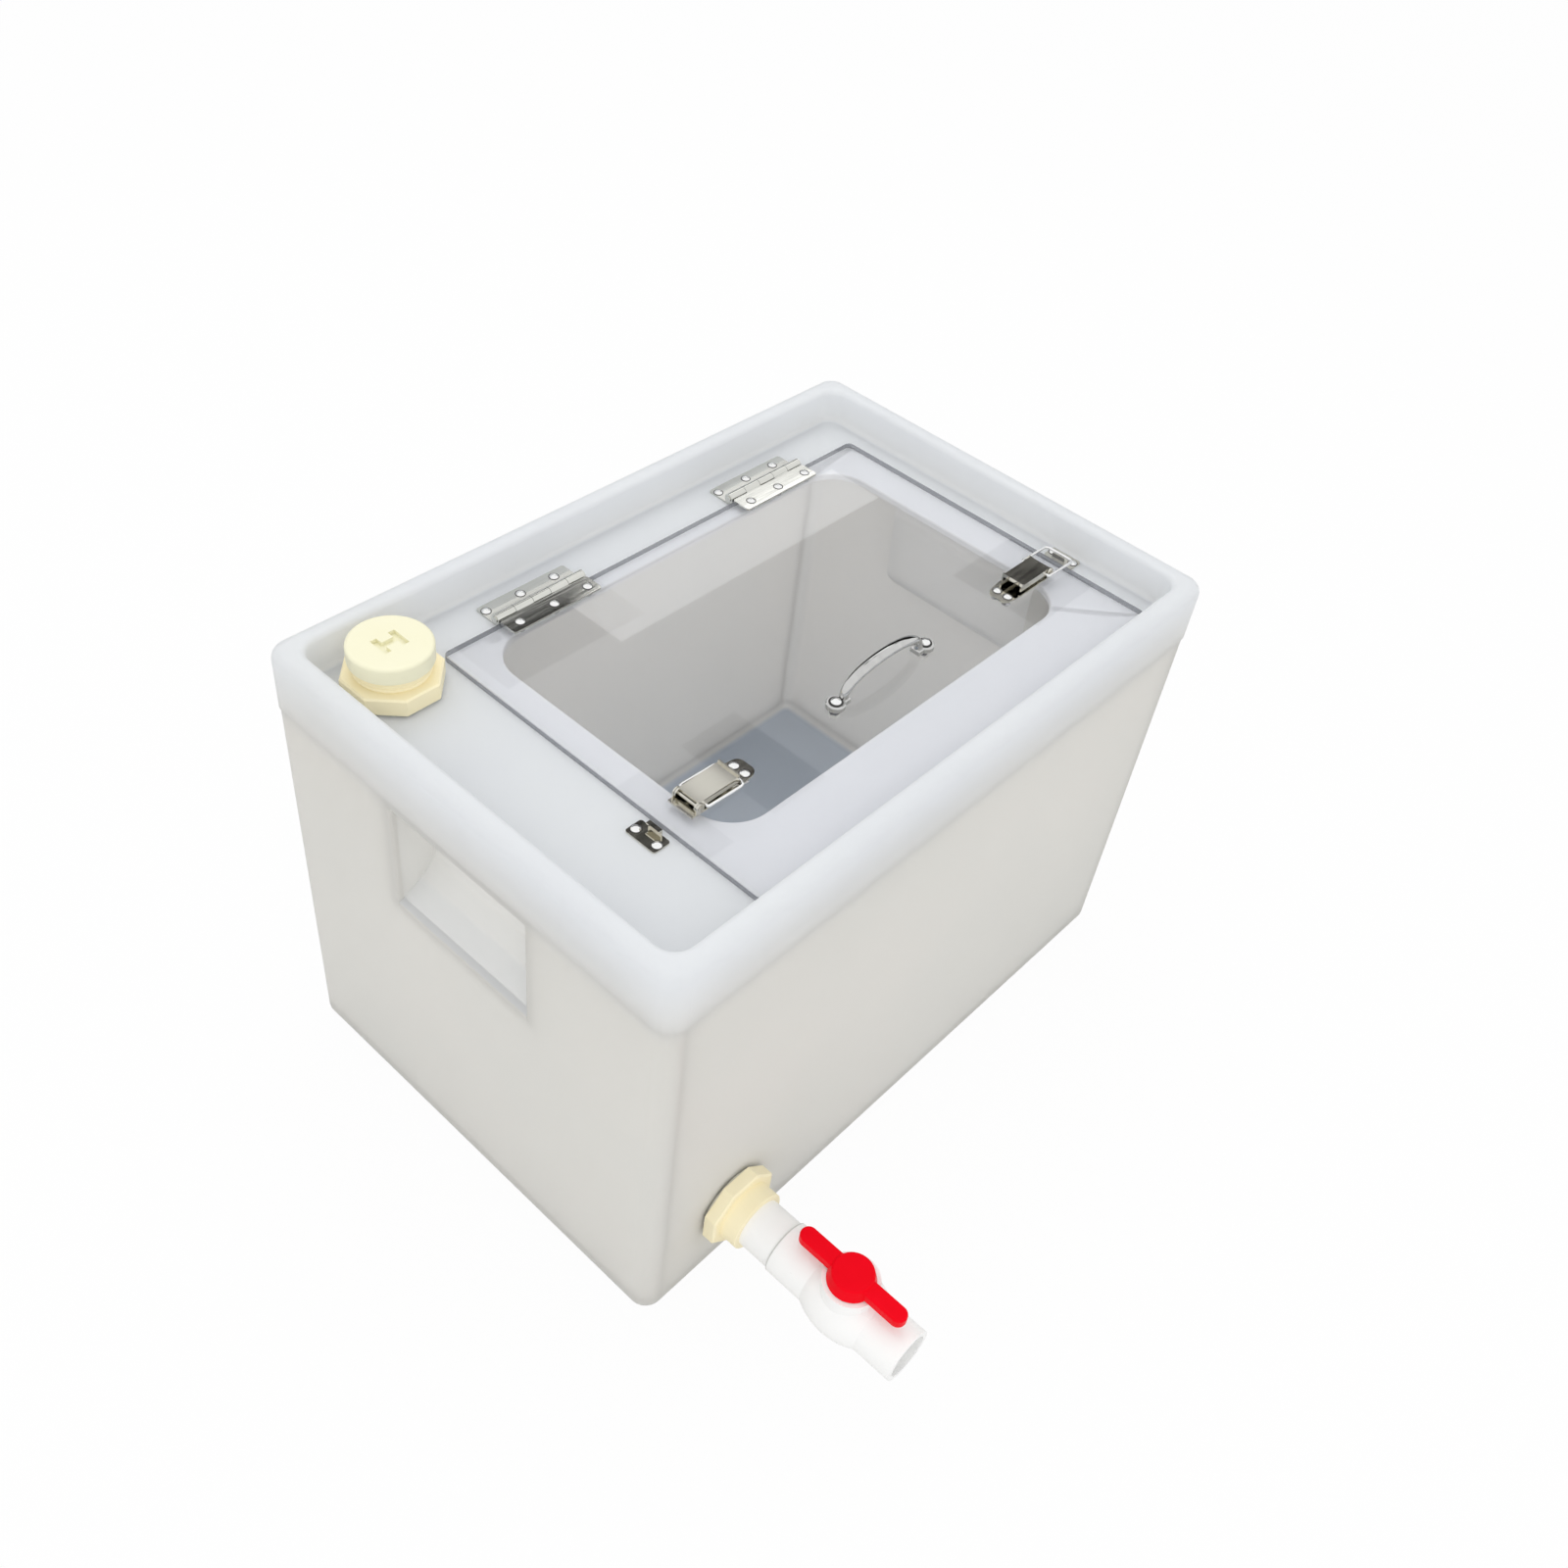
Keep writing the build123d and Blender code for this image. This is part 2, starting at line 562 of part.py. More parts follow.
def latch_base(side):
    """The latch's base plate, drawn in at its inner end, with two ears for the lever's pin."""
    half = LATCH_WIDTH / 2
    tip = LATCH_END_WIDTH / 2
    outline = make_face(Polyline((0, half), (0, -half), (LATCH_TAPER_FROM, -half), (LATCH_LENGTH, -tip),
                                 (LATCH_LENGTH, tip), (LATCH_TAPER_FROM, half), close=True))
    end = [v for v in outline.vertices() if v.X > LATCH_LENGTH - PAST]
    plate = extrude(fillet(end, LATCH_END_R), SHEET)
    ear = block(LEVER_PIVOT - EAR_R, LEVER_PIVOT + EAR_R, half - SHEET, half, 0, LEVER_PIVOT_UP)
    ear = ear + Pos(LEVER_PIVOT, half - SHEET / 2, LEVER_PIVOT_UP) * Rot(90, 0, 0) * Cylinder(EAR_R, SHEET)
    base = plate + ear + mirror(ear, Plane.XZ)
    base = base - Pos(LEVER_PIVOT, 0, LEVER_PIVOT_UP) * Rot(90, 0, 0) * Cylinder(
        LEVER_PIN_R + PIN_FIT, LATCH_WIDTH + PAST)
    hole = rod(RIVET_R + RIVET_FIT, -PAST, SHEET + PAST)
    for across in (-1, 1):
        base = base - Pos(LATCH_RIVET_AT, across * LATCH_RIVET_SIDE, 0) * hole
    return latch_place(side) * base


def latch_lever(side):
    """The channel-shaped lever: a flat top, two skirts round the pin and a small finger lip."""
    top = block(LEVER_PIVOT, LEVER_END, -LEVER_OUTER, LEVER_OUTER, LEVER_TOP - SHEET, LEVER_TOP)
    lip = block(LEVER_END - SHEET, LEVER_END, -LEVER_OUTER, LEVER_OUTER,
                LEVER_TOP - SHEET, LEVER_TOP + LEVER_LIP)
    skirt = block(LEVER_PIVOT, LEVER_END, LEVER_INNER, LEVER_OUTER, LEVER_SKIRT, LEVER_TOP)
    nose = Pos(LEVER_PIVOT, (LEVER_INNER + LEVER_OUTER) / 2, LEVER_PIVOT_UP) * Rot(90, 0, 0) * Cylinder(
        LEVER_TOP - LEVER_PIVOT_UP - LEVER_NOSE_EASE, SHEET)
    skirt = skirt + nose
    lever = top + lip + skirt + mirror(skirt, Plane.XZ)
    for along, radius in ((LEVER_PIVOT, LEVER_PIN_R), (BAIL_PIVOT, BAIL_WIRE_R)):
        hole = Rot(90, 0, 0) * Cylinder(radius + PIN_FIT, LATCH_WIDTH + PAST)
        lever = lever - Pos(along, 0, LEVER_PIVOT_UP) * hole
    return latch_place(side) * lever


def lever_pin(side):
    """The pin that carries the lever between the base's ears."""
    half = LATCH_WIDTH / 2
    pin = rod(LEVER_PIN_R, -half, half)
    head = rod(LEVER_PIN_HEAD_R, half, half + LEVER_PIN_HEAD)
    pin = pin + head + Rot(180, 0, 0) * head
    return latch_place(side) * Pos(LEVER_PIVOT, 0, LEVER_PIVOT_UP) * Rot(90, 0, 0) * pin


def latch_bail(side):
    """The wire bail: a U of round wire whose two ends turn in through the lever's skirts."""
    wire_y = LATCH_WIDTH / 2 + BAIL_SIDE_GAP + BAIL_WIRE_R
    points = [(0, LEVER_INNER, 0), (0, wire_y, 0), (BAIL_LENGTH, wire_y, 0), (BAIL_LENGTH, -wire_y, 0),
              (0, -wire_y, 0), (0, -LEVER_INNER, 0)]
    bends = [BAIL_END_BEND_R, BAIL_BEND_R, BAIL_BEND_R, BAIL_END_BEND_R]
    path = FilletPolyline(*points, radius=bends)
    start = Plane(origin=points[0], z_dir=(0, 1, 0))
    wire = sweep(start * Circle(BAIL_WIRE_R), path=path)
    turn = BAIL_FOLDED_DEG if side < 0 else BAIL_FORWARD_DEG
    pivot = Pos(BAIL_PIVOT, 0, LEVER_PIVOT_UP)
    return latch_place(side) * pivot * Rot(0, -turn, 0) * wire


def keeper(side):
    """The keeper on the deck: a riveted plate with a hook that curls away from its latch."""
    plate = block(-KEEPER_LENGTH, 0, -KEEPER_WIDTH / 2, KEEPER_WIDTH / 2, 0, SHEET)
    plate = fillet(plate.edges().filter_by(Axis.Z), KEEPER_CORNER_R)
    post = block(-SHEET, 0, -HOOK_WIDTH / 2, HOOK_WIDTH / 2, 0, HOOK_HEIGHT)
    lip = block(-HOOK_LIP, 0, -HOOK_WIDTH / 2, HOOK_WIDTH / 2, HOOK_HEIGHT - SHEET, HOOK_HEIGHT)
    hook = plate + post + lip
    for across in (-1, 1):
        hole = rod(RIVET_R + RIVET_FIT, -PAST, SHEET + PAST)
        hook = hook - Pos(-KEEPER_RIVET_IN, across * KEEPER_RIVET_SIDE, 0) * hole
    place = Pos(latch_x(side, -KEEPER_REACH), ROW_Y, DECK_Z) * Rot(0, 0, 180 if side > 0 else 0)
    return place * hook


def port_body(across, face, neck_r, neck_top, tube_r, tube_down, bore_r):
    """A tank connector: an eight-sided flange and neck outside, and a threaded tube inside."""
    flange = eight_sided(across, GASKET, face)
    flange = chamfer(edges_at(flange, face), CAST_EDGE)
    neck = rod(neck_r, face, neck_top)
    neck = chamfer(edges_at(neck, neck_top), CAST_EDGE / 2)
    body = flange + neck + rod(tube_r, -tube_down, face)
    return body - rod(bore_r, -tube_down - PAST, neck_top + PAST)


def port_gasket(across, tube_r):
    """The flat rubber ring under a connector's flange."""
    return tube(across / 2 - GASKET_MARGIN, tube_r + PORT_CLEARANCE, 0, GASKET)


def port_nut(across, tube_r):
    """The eight-sided locknut inside the tank."""
    nut = eight_sided(across, -WALL - NUT_HEIGHT, -WALL)
    nut = chamfer(edges_at(nut, -WALL - NUT_HEIGHT), CAST_EDGE)
    return nut - rod(tube_r + THREAD_FIT, -WALL - NUT_HEIGHT - PAST, PAST)


def fill_body():
    """The fill port's connector, with ridges of its coarse thread round the neck."""
    body = port_body(FILL_FLANGE, FILL_FLANGE_FACE, FILL_NECK_R, FILL_NECK_TOP, FILL_NECK_R,
                     FILL_TUBE_DOWN + WALL, FILL_BORE_R)
    turns = int((FILL_NECK_TOP - FILL_FLANGE_FACE) / THREAD_PITCH)
    wide = FILL_NECK_R + THREAD_RIDGE
    for turn in range(turns):
        height = FILL_FLANGE_FACE + THREAD_PITCH * (turn + 1 / 2)
        upper = Pos(0, 0, height + THREAD_RIDGE / 2) * Cone(wide, FILL_NECK_R, THREAD_RIDGE)
        lower = Pos(0, 0, height - THREAD_RIDGE / 2) * Cone(FILL_NECK_R, wide, THREAD_RIDGE)
        body = body + upper + lower
    return FILL_PLACE * (body - rod(FILL_BORE_R, 0, FILL_NECK_TOP + PAST))


def plug_seal():
    """The rubber ring between the fill port's neck and the plug's head."""
    inner = FILL_BORE_R + PLUG_SEAL_MARGIN
    return FILL_PLACE * tube(FILL_NECK_R, inner, FILL_NECK_TOP, FILL_NECK_TOP + PLUG_SEAL)


def fill_plug():
    """The screw plug: a round head with a wrench recess of two slots and a bar, and a hollow stem."""
    under = FILL_NECK_TOP + PLUG_SEAL
    top = under + PLUG_HEAD
    head = rod(PLUG_HEAD_R, under, top)
    head = fillet(edges_at(head, top), PLUG_HEAD_EDGE)
    head = fillet(edges_at(head, under), PLUG_HEAD_EDGE / 2)
    plug = head + rod(FILL_BORE_R - PLUG_FIT, under - PLUG_STEM, under)
    plug = plug - rod(PLUG_HOLLOW_R, under - PLUG_STEM - PAST, top - PLUG_RECESS - PLUG_CROWN)
    half = PLUG_SLOT / 2
    spread = PLUG_SLOT_SPREAD / 2
    floor = top - PLUG_RECESS
    slot = block(-half, half, -PLUG_SLOT_LENGTH / 2, PLUG_SLOT_LENGTH / 2, floor, top + PAST)
    bar = block(-spread, spread, -half, half, floor, top + PAST)
    return FILL_PLACE * (plug - Pos(-spread, 0, 0) * slot - Pos(spread, 0, 0) * slot - bar)


def drain_body():
    """The drain port's connector, bored out at its outer end for the adapter's tail."""
    body = port_body(DRAIN_FLANGE, DRAIN_FLANGE_FACE, DRAIN_COLLAR_R, DRAIN_COLLAR_END, DRAIN_TUBE_R,
                     DRAIN_TUBE_IN + WALL, ADAPTER_BORE_R)
    seat = DRAIN_COLLAR_END - ADAPTER_TAIL
    return DRAIN_PLACE * (body - rod(ADAPTER_TAIL_R + THREAD_FIT, seat, DRAIN_COLLAR_END + PAST))


def drain_adapter():
    """The white pipe piece between the drain port and the valve."""
    pipe = rod(ADAPTER_R, DRAIN_COLLAR_END, VALVE_START)
    pipe = pipe + rod(ADAPTER_TAIL_R, DRAIN_COLLAR_END - ADAPTER_TAIL, DRAIN_COLLAR_END)
    pipe = pipe + rod(SPIGOT_R, VALVE_START, VALVE_START + SOCKET_DEPTH - SPIGOT_SHORT)
    return DRAIN_PLACE * (pipe - rod(ADAPTER_BORE_R, 0, VALVE_END))


def valve_body():
    """The valve's one-piece body: inlet socket, round belly, stem boss and open outlet end."""
    swell = ThreePointArc((VALVE_SOCKET_R, VALVE_CENTRE - BELLY_HALF), (VALVE_BELLY_R, VALVE_CENTRE),
                          (VALVE_SOCKET_R, VALVE_CENTRE + BELLY_HALF))
    edge = Polyline((VALVE_SOCKET_R, VALVE_CENTRE + BELLY_HALF), (VALVE_SOCKET_R, VALVE_SPLIT),
                    (0, VALVE_SPLIT), (0, VALVE_START), (VALVE_SOCKET_R, VALVE_START),
                    (VALVE_SOCKET_R, VALVE_CENTRE - BELLY_HALF))
    body = revolve(Plane.XZ * make_face([swell, edge]), Axis.Z)
    body = body + valve_up(rod(BOSS_R, 0, BOSS_TOP))
    body = body - rod(SPIGOT_R + SOCKET_FIT, VALVE_START - PAST, VALVE_START + SOCKET_DEPTH)
    body = body - rod(VALVE_BORE_R, VALVE_START, VALVE_SPLIT + PAST)
    chamber_start = VALVE_CENTRE - BALL_R - SEAT_BACK
    body = body - rod(CHAMBER_R, chamber_start, VALVE_SPLIT + PAST)
    body = body - valve_up(rod(STEM_R + STEM_FIT, 0, BOSS_TOP + PAST))
    return DRAIN_PLACE * body


def valve_up(shape):
    """Stands a shape made on Z up on the valve's middle, along the stem."""
    return Pos(0, 0, VALVE_CENTRE) * Rot(-90, 0, 0) * shape


def valve_outlet():
    """The outlet socket, whose spigot holds the ball and its seats in the body."""
    outlet = rod(VALVE_SOCKET_R, VALVE_SPLIT, VALVE_END)
    outlet = outlet + rod(CHAMBER_R - THREAD_FIT, VALVE_SPLIT - CARRIER_OVERLAP, VALVE_SPLIT)
    outlet = outlet - rod(VALVE_BORE_R, VALVE_CENTRE, VALVE_END + PAST)
    return DRAIN_PLACE * (outlet - rod(SPIGOT_R + SOCKET_FIT, VALVE_END - SOCKET_DEPTH, VALVE_END + PAST))


def ball_seat(end):
    """A seat ring with a face hollowed to the ball, on the tank's side or the outlet's side."""
    back = VALVE_SPLIT - CARRIER_OVERLAP - VALVE_CENTRE
    ring = tube(CHAMBER_R - THREAD_FIT, VALVE_BORE_R, BALL_R - SEAT_DEPTH, back)
    ring = ring - Sphere(BALL_R + BALL_FIT)
    return DRAIN_PLACE * Pos(0, 0, VALVE_CENTRE) * Rot(0 if end > 0 else 180, 0, 0) * ring


def valve_ball():
    """The ball with its bore in line with the pipe and a slot for the stem's tang."""
    ball = Sphere(BALL_R) - rod(VALVE_BORE_R, -BALL_R, BALL_R)
    slot = block(-TANG_THICK / 2 - TANG_FIT, TANG_THICK / 2 + TANG_FIT, BALL_R - TANG_DEPTH - TANG_FIT,
                 BALL_R + PAST, -BALL_R, BALL_R)
    return DRAIN_PLACE * Pos(0, 0, VALVE_CENTRE) * (ball - slot)


def valve_stem():
    """The stem: a flat tang in the ball, a round shaft with a ring groove, and a square top."""
    tang = block(-TANG_THICK / 2, TANG_THICK / 2, -STEM_R, STEM_R, BALL_R - TANG_DEPTH, BALL_R + PAST)
    tang = tang & rod(STEM_R, 0, BALL_R + PAST)
    shaft = rod(STEM_R, BALL_R + TANG_FIT, BOSS_TOP)
    shaft = shaft - tube(STEM_R + PAST, STEM_R - RING_SEAT, RING_UP, RING_UP + RING_HEIGHT)
    square = block(-STEM_SQUARE / 2, STEM_SQUARE / 2, -STEM_SQUARE / 2, STEM_SQUARE / 2, BOSS_TOP, STEM_TOP)
    return DRAIN_PLACE * valve_up(tang + shaft + square)


def stem_ring():
    """The sealing ring in the stem's groove."""
    ring = tube(STEM_R, STEM_R - RING_SEAT, RING_UP, RING_UP + RING_HEIGHT)
    return DRAIN_PLACE * valve_up(ring)


def valve_handle():
    """The butterfly handle: a round hub over the boss with a wing each way along the pipe."""
    low = BOSS_TOP + HUB_GAP
    top = low + HUB_HEIGHT
    hub = Pos(0, 0, (low + top) / 2) * Cone(HUB_R, HUB_TOP_R, HUB_HEIGHT)
    hub = fillet(edges_at(hub, top), WING_EDGE)
    wing_top = top - WING_DROP
    wing = rounded_block(-WING_WIDTH / 2, WING_WIDTH / 2, -WING_REACH, WING_REACH,
                         wing_top - WING_HEIGHT, wing_top, WING_WIDTH / 2 - ROUND_EASE)
    wing = fillet(edges_at(wing, wing_top), WING_EDGE)
    handle = hub + wing
    hole = STEM_SQUARE / 2 + THREAD_FIT
    handle = handle - block(-hole, hole, -hole, hole, low - PAST, STEM_TOP + THREAD_FIT)
    return DRAIN_PLACE * valve_up(handle)


def together(pieces):
    """Identical small pieces as separate solids of one node."""
    return Compound(children=[piece.solid() for piece in pieces])


nodes = {
    **tank_parts(),
    "lid_sheet": lid_sheet(),
    "lid_hinge_rivets": together(lid_rivet(x, y, LID_TOP + LEAF_THICKNESS) for x, y in LID_HINGE_RIVETS),
    "deck_hinge_rivets": together(deck_rivet(x, y, DECK_Z + LEAF_THICKNESS) for x, y in DECK_HINGE_RIVETS),
    "latch_rivets": together(lid_rivet(x, y, LID_TOP + SHEET) for x, y in LATCH_RIVETS),
    "keeper_rivets": together(deck_rivet(x, y, DECK_Z + SHEET) for x, y in KEEPER_RIVETS),
    "bow_handle": bow_handle(),
    "bow_screws": together(bow_screw(x, y) for x, y in BOW_SCREWS),
    "bow_nuts": together(bow_nut(x, y) for x, y in BOW_SCREWS),
    "fill_port": fill_body(),
    "fill_gasket": FILL_PLACE * port_gasket(FILL_FLANGE, FILL_NECK_R),
    "fill_locknut": FILL_PLACE * port_nut(FILL_NUT, FILL_NECK_R),
    "plug_seal": plug_seal(),
    "fill_plug": fill_plug(),
    "drain_port": drain_body(),
    "drain_gasket": DRAIN_PLACE * port_gasket(DRAIN_FLANGE, DRAIN_TUBE_R),
    "drain_locknut": DRAIN_PLACE * port_nut(DRAIN_NUT, DRAIN_TUBE_R),
    "drain_adapter": drain_adapter(),
    "valve_body": valve_body(),
    "valve_outlet": valve_outlet(),
    "ball_seat_inlet": ball_seat(-1),
    "ball_seat_outlet": ball_seat(1),
    "valve_ball": valve_ball(),
    "valve_stem": valve_stem(),
    "stem_ring": stem_ring(),
    "valve_handle": valve_handle(),
}
for name, x in zip(SIDES, HINGE_XS):
    nodes["hinge_leaf_deck_" + name] = hinge_leaf(x, True)
    nodes["hinge_leaf_lid_" + name] = hinge_leaf(x, False)
    nodes["hinge_pin_" + name] = hinge_pin(x)
for name, side in SIDES.items():
    nodes["latch_base_" + name] = latch_base(side)
    nodes["latch_lever_" + name] = latch_lever(side)
    nodes["lever_pin_" + name] = lever_pin(side)
    nodes["latch_bail_" + name] = latch_bail(side)
    nodes["keeper_" + name] = keeper(side)

os.makedirs("parts", exist_ok=True)
for name, shape in nodes.items():
    export_step(shape, os.path.join("parts", name + ".step"))
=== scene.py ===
"""Looks of the fish transport box: milky tank, clear lid, bright hardware, cream ports, white valve."""
import math

import bmesh
import bpy
from mathutils import Matrix, Vector


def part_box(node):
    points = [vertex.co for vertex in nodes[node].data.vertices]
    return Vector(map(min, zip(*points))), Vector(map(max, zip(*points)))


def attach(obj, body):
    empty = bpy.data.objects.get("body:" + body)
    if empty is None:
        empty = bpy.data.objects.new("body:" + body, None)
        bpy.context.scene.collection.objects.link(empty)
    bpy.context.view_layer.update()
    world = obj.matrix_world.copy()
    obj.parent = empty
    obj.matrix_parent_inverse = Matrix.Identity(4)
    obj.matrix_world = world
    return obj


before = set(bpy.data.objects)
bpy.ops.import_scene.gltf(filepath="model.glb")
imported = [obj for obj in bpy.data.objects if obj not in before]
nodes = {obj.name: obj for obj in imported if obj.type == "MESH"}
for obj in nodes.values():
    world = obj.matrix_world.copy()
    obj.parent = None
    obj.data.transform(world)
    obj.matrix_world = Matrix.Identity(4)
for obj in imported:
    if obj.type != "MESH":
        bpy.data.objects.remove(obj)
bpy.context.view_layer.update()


# The tank is one hollow moulding of milky polyethylene, turned in an oven until its wall is
# about 6 mm thick. Its skin is satin with a faint orange peel; daylight comes through the walls,
# which glow warm near the floor. The deck, the rim and upward faces get a painted cool white
# for the sky's light, and the floor inside a painted blue-grey shade.
class Wire:
    """A socket that carries a number or a colour. Sums on numbers add Math nodes."""

    def __init__(self, finish, socket):
        self.finish = finish
        self.socket = socket

    def math(self, operation, *values):
        return self.finish.node("ShaderNodeMath", {"operation": operation}, self, *values)

    def __add__(self, other):
        return self.math("ADD", other)

    __radd__ = __add__

    def __sub__(self, other):
        return self.math("SUBTRACT", other)

    def __rsub__(self, other):
        return self.finish.node("ShaderNodeMath", {"operation": "SUBTRACT"}, other, self)

    def __mul__(self, other):
        return self.math("MULTIPLY", other)

    def __truediv__(self, other):
        return self.math("DIVIDE", other)

    def ramp(self, *stops):
        """Greys along this number. Each stop is a position and the grey there."""
        return self.finish.node("ShaderNodeValToRGB", {"stops": stops}, self)


class Finish:
    """A material whose nodes are added by type, with their settings first and then their inputs."""

    def __init__(self, name, **constants):
        self.material = bpy.data.materials.new(name)
        self.material.use_nodes = True
        self.tree = self.material.node_tree
        self.shader = self.tree.nodes["Principled BSDF"]
        for socket, value in constants.items():
            self.shader.inputs[socket.replace("_", " ")].default_value = value
        self.place = self.node("ShaderNodeTexCoord", output="Object")

    def node(self, kind, settings=None, *values, output=0, **named):
        made = self.tree.nodes.new(kind)
        for key, value in (settings or {}).items():
            if key == "stops":
                stops = made.color_ramp.elements
                while len(stops) < len(value):
                    stops.new(0.5)
                for stop, (position, grey) in zip(stops, value):
                    stop.position = position
                    stop.color = (grey, grey, grey, 1)
            else:
                setattr(made, key, value)
        spoken = {key.replace("_", " "): value for key, value in named.items()}
        for key, value in [*enumerate(values), *spoken.items()]:
            if isinstance(value, Wire):
                self.tree.links.new(value.socket, made.inputs[key])
            else:
                made.inputs[key].default_value = value
        return Wire(self, made.outputs[output])

    def noise(self, scale, detail=2.0, place=None):
        where = place or self.place
        return self.node("ShaderNodeTexNoise", Vector=where, Scale=scale, Detail=detail)

    def stretched(self, x, y, z):
        """Object coordinates scaled by a different amount along each axis."""
        return self.node("ShaderNodeMapping", Vector=self.place, Scale=(x, y, z))

    def axis(self, name, vector=None):
        """One coordinate of a vector, in metres for the place on the piece."""
        return self.node("ShaderNodeSeparateXYZ", None, vector or self.place, output=name)

    def blend(self, factor, first, second, kind="RGBA"):
        """A colour between two colours, or a vector between two vectors."""
        mix = self.tree.nodes.new("ShaderNodeMix")
        mix.data_type = kind
        sockets = [socket for socket in mix.inputs if socket.enabled]
        for name, value in (("Factor", factor), ("A", first), ("B", second)):
            socket = next(socket for socket in sockets if socket.name == name)
            if isinstance(value, Wire):
                self.tree.links.new(value.socket, socket)
            else:
                socket.default_value = (*value, 1) if isinstance(value, tuple) else value
        return Wire(self, next(socket for socket in mix.outputs if socket.enabled))

    def drive(self, **wires):
        """Links what changes over the surface to the shader's sockets."""
        for socket, wire in wires.items():
            self.tree.links.new(wire.socket, self.shader.inputs[socket.replace("_", " ")])

    def bump(self, height, strength, distance):
        """Relief of a real depth in metres. Large flat faces keep their exact direction."""
        exact = self.node("ShaderNodeNewGeometry", output="True Normal")
        smooth = self.node("ShaderNodeNewGeometry", output="Normal")
        bare = self.node("ShaderNodeVectorMath", {"operation": "ABSOLUTE"}, exact)
        largest = self.axis("X", bare).math("MAXIMUM", self.axis("Y", bare))
        largest = largest.math("MAXIMUM", self.axis("Z", bare))
        faces_an_axis = 0.9999
        way = self.blend(largest.math("GREATER_THAN", faces_an_axis), smooth, exact, "VECTOR")
        self.drive(Normal=self.node("ShaderNodeBump", Height=height, Strength=strength,
                                    Distance=distance, Normal=way))

    def mixed(self, factor, *shaders):
        """Puts a mix of two shaders on the surface in place of the main one."""
        mix = self.node("ShaderNodeMixShader", None, factor, *shaders)
        self.tree.links.new(mix.socket, self.tree.nodes["Material Output"].inputs["Surface"])

    def plain(self):
        """The main shader's own output."""
        return Wire(self, self.shader.outputs[0])

    def dress(self, *names):
        """Gives this finish to CAD nodes."""
        for name in names:
            slots = nodes[name].data.materials
            slots.clear()
            slots.append(self.material)


def milk(name, hold_painted_light):
    """The tank's plastic. Inside a hand hold a painted lighter white is laid on, by a share from 0 to
    1.
    """
    full_depth = 0.002      # how far in from the outer face the hand hold's painted light is at its full
    floor_end = 0.045       # no point higher than this gets the painted shade of the tank's floor
    glow_share = 0.4        # how much of the light comes through the wall
    skin = Finish(name, IOR=1.5)
    clouds = skin.noise(6.0, 3.0).ramp((0.35, 0.0), (0.7, 1.0))
    # Painted light: the walls are a warm white, and the rim's top and every face turned up get a
    # cooler, lighter white for the sky that lights them.
    lower = skin.blend(clouds, (0.90, 0.88, 0.825), (0.87, 0.86, 0.81))
    painted_sky_white = skin.blend(clouds, (0.875, 0.90, 0.92), (0.84, 0.865, 0.895))
    normal = skin.node("ShaderNodeNewGeometry", output="Normal")
    upward = skin.axis("Z", normal).ramp((0.6, 0.0), (0.95, 1.0))
    height = (skin.axis("Z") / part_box("tank_rim")[1][2]).ramp((0.84, 0.0), (0.98, 1.0))
    colour = skin.blend(height.math("MAXIMUM", upward), lower, painted_sky_white)
    # Painted light: inside a hand hold the colour turns a lighter white, by the given share.
    outer_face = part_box("tank_wall_right")[1][0]
    inward = (outer_face - skin.axis("X").math("ABSOLUTE")) * (1 / full_depth)
    inward = inward.ramp((0.0, 0.0), (1.0, 1.0))
    colour = skin.blend(inward * hold_painted_light, colour, (0.96, 0.96, 0.94))
    # Painted shade: the tank's floor inside, low and turned up, is painted a dark blue-grey, and lets
    # no light through.
    low = (skin.axis("Z") * (0.9 / floor_end)).ramp((0.4, 1.0), (0.9, 0.0))
    floor = upward * low
    skin.drive(Base_Color=skin.blend(floor, colour, (0.57, 0.64, 0.73)),
               Roughness=0.36 + clouds * 0.14)
    skin.bump(skin.noise(260.0, 2.0), 0.25, 0.0004)
    glow = skin.node("ShaderNodeBsdfTranslucent", Color=(0.95, 0.95, 0.955, 1))
    skin.mixed((1 - floor) * (glow_share - 0.3 * hold_painted_light), skin.plain(), glow)
    return skin


tank_nodes = [name for name in nodes if name.startswith("tank_")]
milk("milky_polyethylene", 0.0).dress(*tank_nodes)
milk("milky_hand_hold", 0.6).dress("hand_pocket_left", "hand_pocket_right")

# The two ports are cream ABS tank connectors: an eight-sided flange outside, a locknut inside,
# and a rubber ring under the flange. They are injection moulded with a soft gloss.
cream = Finish("cream_abs", IOR=1.53)
shade = cream.noise(22.0, 3.0)
cream.drive(Base_Color=cream.blend(shade, (0.97, 0.86, 0.54), (0.99, 0.91, 0.65)),
            Roughness=0.28 + shade * 0.16)
cream.bump(cream.noise(420.0), 0.2, 0.0003)
cream.dress("fill_port", "fill_locknut", "drain_port", "drain_locknut")

# The fill plug is moulded in a slightly paler cream ABS, with a wrench recess in its head. It
# screws down into the neck of the fill port, onto its own sealing ring.
plug_cream = Finish("plug_abs", IOR=1.53)
shade = plug_cream.noise(26.0, 3.0)
plug_cream.drive(Base_Color=plug_cream.blend(shade, (0.86, 0.83, 0.59), (0.90, 0.88, 0.68)),
                 Roughness=0.3 + shade * 0.14)
plug_cream.bump(plug_cream.noise(380.0), 0.2, 0.0003)
plug_cream.dress("fill_plug")

# The sealing rings are soft grey rubber, cut from sheet and matt. They are squeezed under the
# ports' flanges, under the plug's head and round the valve's stem.
rubber = Finish("sealing_rubber")
grain = rubber.noise(700.0, 3.0)
rubber.drive(Base_Color=rubber.blend(grain, (0.62, 0.60, 0.52), (0.72, 0.70, 0.61)),
             Roughness=0.62 + grain * 0.2)
rubber.bump(grain, 0.3, 0.0003)
rubber.dress("fill_gasket", "plug_seal", "drain_gasket", "stem_ring")
